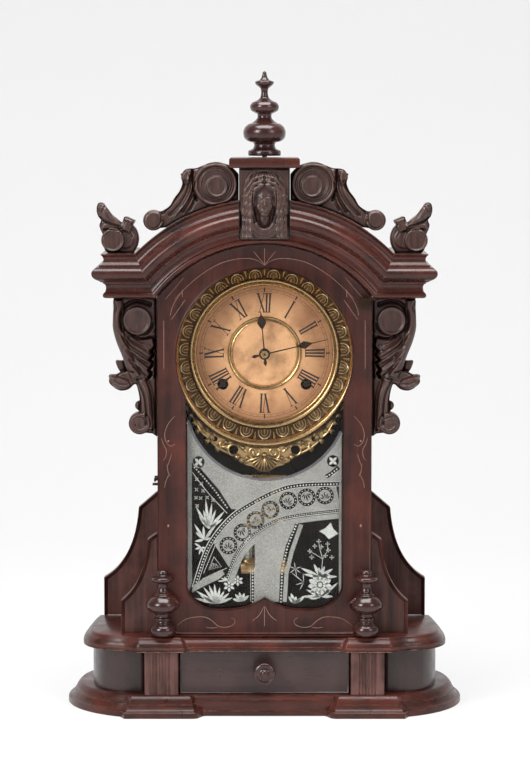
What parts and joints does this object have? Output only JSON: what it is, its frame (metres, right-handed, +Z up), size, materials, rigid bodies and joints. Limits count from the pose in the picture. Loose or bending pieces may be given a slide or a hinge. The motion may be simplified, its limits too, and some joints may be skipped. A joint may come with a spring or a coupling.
{
  "type": "shelf clock",
  "caption": "Carved walnut parlour shelf clock with an arched cornice, a patterned glass door, a swinging pendulum and a drawer in its plinth.",
  "frame": {"origin": "on the ground, under the middle of the base plate", "axes": "+X to the right as seen from the front, +Y to the back, +Z up; the dial and the door face -Y"},
  "size_m": [0.382, 0.143, 0.6103],
  "materials": {
    "walnut": "varnished",
    "carved_walnut": "varnished, carved",
    "grey_walnut": "worn varnish",
    "turned_walnut": "polished",
    "pine": "unfinished",
    "brass": "aged",
    "blued_steel": "dark",
    "silvered_metal": "satin",
    "dial_paper": "aged",
    "glass": "clear, with a frosted pattern"
  },
  "bodies": {
    "case": {"apron": "brass", "base_plate": "walnut", "bezel": "brass", "case_back": "pine", "case_roof": "walnut", "case_side_left": "walnut", "case_side_right": "walnut", "corner_ornament_left": "carved_walnut", "corner_ornament_right": "carved_walnut", "cornice_arch": "walnut", "cornice_left": "walnut", "cornice_right": "walnut", "crest_cap": "walnut", "crest_scroll_left": "carved_walnut", "crest_scroll_right": "carved_walnut", "dial": "dial_paper", "drawer_runner_left": "pine", "drawer_runner_right": "pine", "drum_panel_left": "grey_walnut", "drum_panel_right": "grey_walnut", "finial": "turned_walnut", "front_foot_left": "walnut", "front_foot_right": "walnut", "gong": "blued_steel", "head_block": "carved_walnut", "mask": "carved_walnut", "movement_back": "brass", "movement_front": "brass", "pilaster_left": "walnut", "pilaster_right": "walnut", "pivot_bottom": "brass", "plinth_back": "pine", "plinth_plate": "walnut", "rear_wing_left": "walnut", "rear_wing_right": "walnut", "side_bracket_left": "carved_walnut", "side_bracket_right": "carved_walnut"},
    "drawer": {"drawer_front": "grey_walnut", "drawer_box": "pine", "drawer_knob": "turned_walnut"},
    "door": {"door_frame": "walnut", "door_glass": "glass", "spindle_left": "turned_walnut", "spindle_right": "turned_walnut", "pivot_top": "brass", "latch_pin": "brass"},
    "latch": {"latch_hook": "brass"},
    "minute": {"minute_hand": "blued_steel", "centre_arbor": "brass"},
    "hour": {"hour_hand": "blued_steel"},
    "winding_time": {"winding_time": "blued_steel"},
    "winding_strike": {"winding_strike": "blued_steel"},
    "escape": {"escape_wheel": "brass"},
    "verge": {"verge": "blued_steel"},
    "pendulum": {"pendulum_rod": "blued_steel", "pendulum_frame": "brass", "pendulum_vial_left": "silvered_metal", "pendulum_vial_right": "silvered_metal"},
    "hammer": {"hammer": "blued_steel"}
  },
  "joints": [
    {"name": "door_hinge", "type": "hinge", "parent": "case", "child": "door", "pos_m": [0.1032, -0.052, 0.24], "axis": [0, 0, 1], "range_deg": [0, 100]},
    {"name": "drawer_slide", "type": "slide", "parent": "case", "child": "drawer", "axis": [0, -1, 0], "range_m": [0, 0.07]},
    {"name": "latch_turn", "type": "hinge", "parent": "case", "child": "latch", "pos_m": [-0.104, -0.012, 0.222], "axis": [1, 0, 0], "range_deg": [-75, 0]},
    {"name": "minute_hand_turn", "type": "hinge", "parent": "case", "child": "minute", "pos_m": [0, 0, 0.3416], "axis": [0, 1, 0], "continuous": true},
    {"name": "hour_hand_turn", "type": "hinge", "parent": "case", "child": "hour", "pos_m": [0, 0, 0.3416], "axis": [0, 1, 0], "continuous": true},
    {"name": "time_winding", "type": "hinge", "parent": "case", "child": "winding_time", "pos_m": [0.04, 0.02, 0.3116], "axis": [0, 1, 0], "continuous": true},
    {"name": "strike_winding", "type": "hinge", "parent": "case", "child": "winding_strike", "pos_m": [-0.04, 0.02, 0.3116], "axis": [0, 1, 0], "continuous": true},
    {"name": "escape_turn", "type": "hinge", "parent": "case", "child": "escape", "pos_m": [0, 0.01, 0.38], "axis": [0, 1, 0], "continuous": true},
    {"name": "pendulum_swing", "type": "hinge", "parent": "case", "child": "pendulum", "pos_m": [0, 0.005, 0.403], "axis": [0, 1, 0], "range_deg": [-2.5, 2.5]},
    {"name": "verge_rock", "type": "hinge", "parent": "case", "child": "verge", "pos_m": [0, 0.01, 0.403], "axis": [0, 1, 0], "range_deg": [-2.5, 2.5]},
    {"name": "hammer_lift", "type": "hinge", "parent": "case", "child": "hammer", "pos_m": [0, 0.046, 0.292], "axis": [0, 1, 0], "range_deg": [-8, 0]}
  ],
  "couplings": [
    {"joint": "hour_hand_turn", "follows": "minute_hand_turn", "ratio": 0.083333},
    {"joint": "verge_rock", "follows": "pendulum_swing", "ratio": 1}
  ]
}
